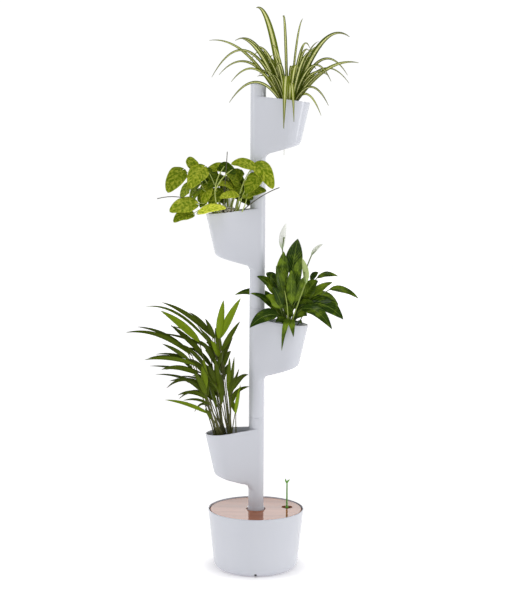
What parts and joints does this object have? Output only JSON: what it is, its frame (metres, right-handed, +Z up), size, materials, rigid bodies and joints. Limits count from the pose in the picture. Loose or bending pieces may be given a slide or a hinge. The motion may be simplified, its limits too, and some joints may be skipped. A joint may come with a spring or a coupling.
{
  "type": "vertical planter",
  "caption": "Self-watering vertical planter: a round water tank with a wooden lid carries a mast of stacked, turning pots with living plants.",
  "frame": {"origin": "on the floor, on the mast's axis, under the middle of the tank", "axes": "+Z up along the mast, -Y to the front as pictured, +X to the right, where the top pot reaches"},
  "size_m": [0.722, 0.3, 1.7489],
  "materials": {
    "white_plastic": "gloss",
    "lid_wood": "gloss",
    "steel": "satin",
    "black_plastic": "satin",
    "rubber": "matte",
    "clear_hose": "satin",
    "float_foam": "matte",
    "green_plastic": "gloss",
    "spider_leaf": "satin",
    "pothos_leaf": "gloss",
    "pebble": "matte",
    "lily_leaf": "gloss",
    "lily_white": "satin",
    "palm_leaf": "satin",
    "soil": "matte"
  },
  "bodies": {
    "base": {"base_tank": "white_plastic", "mast_socket": "white_plastic", "socket_screws": "steel", "pump_body": "black_plastic", "pump_strainer": "black_plastic", "pump_feet": "rubber", "riser_tube": "clear_hose", "cable_gland": "rubber", "notch_bush": "rubber", "float_guide": "black_plastic"},
    "lid": {"lid": "lid_wood"},
    "rotor": {"pump_rotor": "steel"},
    "level": {"float_body": "float_foam", "level_stick": "green_plastic"},
    "module_4": {"pot_shell_4": "white_plastic", "spigot_seal_4": "rubber", "drain_plug_4": "black_plastic"},
    "planting_4": {"liner_4": "black_plastic", "soil_4": "soil", "palm": "palm_leaf"},
    "module_3": {"pot_shell_3": "white_plastic", "spigot_seal_3": "rubber", "drain_plug_3": "black_plastic"},
    "planting_3": {"liner_3": "black_plastic", "soil_3": "soil", "peace_lily": "lily_leaf", "lily_flowers": "lily_white"},
    "module_2": {"pot_shell_2": "white_plastic", "spigot_seal_2": "rubber", "drain_plug_2": "black_plastic"},
    "planting_2": {"liner_2": "black_plastic", "soil_2": "soil", "pothos": "pothos_leaf", "pebbles": "pebble"},
    "module_1": {"pot_shell_1": "white_plastic", "spigot_seal_1": "rubber", "drain_plug_1": "black_plastic", "mast_cap": "white_plastic", "top_spout": "black_plastic"},
    "planting_1": {"liner_1": "black_plastic", "soil_1": "soil", "spider_plant": "spider_leaf"}
  },
  "joints": [
    {"name": "lid_lift", "type": "slide", "parent": "base", "child": "lid", "axis": [0, 0, 1], "range_m": [0, 0.045]},
    {"name": "rotor_spin", "type": "hinge", "parent": "base", "child": "rotor", "pos_m": [0, 0, 0.03], "axis": [0, 0, 1], "continuous": true},
    {"name": "level_slide", "type": "slide", "parent": "base", "child": "level", "axis": [0, 0, 1], "range_m": [-0.09, 0]},
    {"name": "turn_4", "type": "hinge", "parent": "base", "child": "module_4", "pos_m": [0, 0, 0.132], "axis": [0, 0, 1], "continuous": true, "deforming": ["palm"]},
    {"name": "lift_4", "type": "slide", "parent": "module_4", "child": "planting_4", "axis": [0, 0, 1], "range_m": [0, 0.15]},
    {"name": "turn_3", "type": "hinge", "parent": "module_4", "child": "module_3", "pos_m": [0, 0, 0.477], "axis": [0, 0, 1], "continuous": true, "deforming": ["peace_lily", "lily_flowers"]},
    {"name": "lift_3", "type": "slide", "parent": "module_3", "child": "planting_3", "axis": [0, 0, 1], "range_m": [0, 0.15]},
    {"name": "turn_2", "type": "hinge", "parent": "module_3", "child": "module_2", "pos_m": [0, 0, 0.822], "axis": [0, 0, 1], "continuous": true, "deforming": ["pothos"]},
    {"name": "lift_2", "type": "slide", "parent": "module_2", "child": "planting_2", "axis": [0, 0, 1], "range_m": [0, 0.15]},
    {"name": "turn_1", "type": "hinge", "parent": "module_2", "child": "module_1", "pos_m": [0, 0, 1.167], "axis": [0, 0, 1], "continuous": true, "deforming": ["spider_plant"]},
    {"name": "lift_1", "type": "slide", "parent": "module_1", "child": "planting_1", "axis": [0, 0, 1], "range_m": [0, 0.15]}
  ]
}
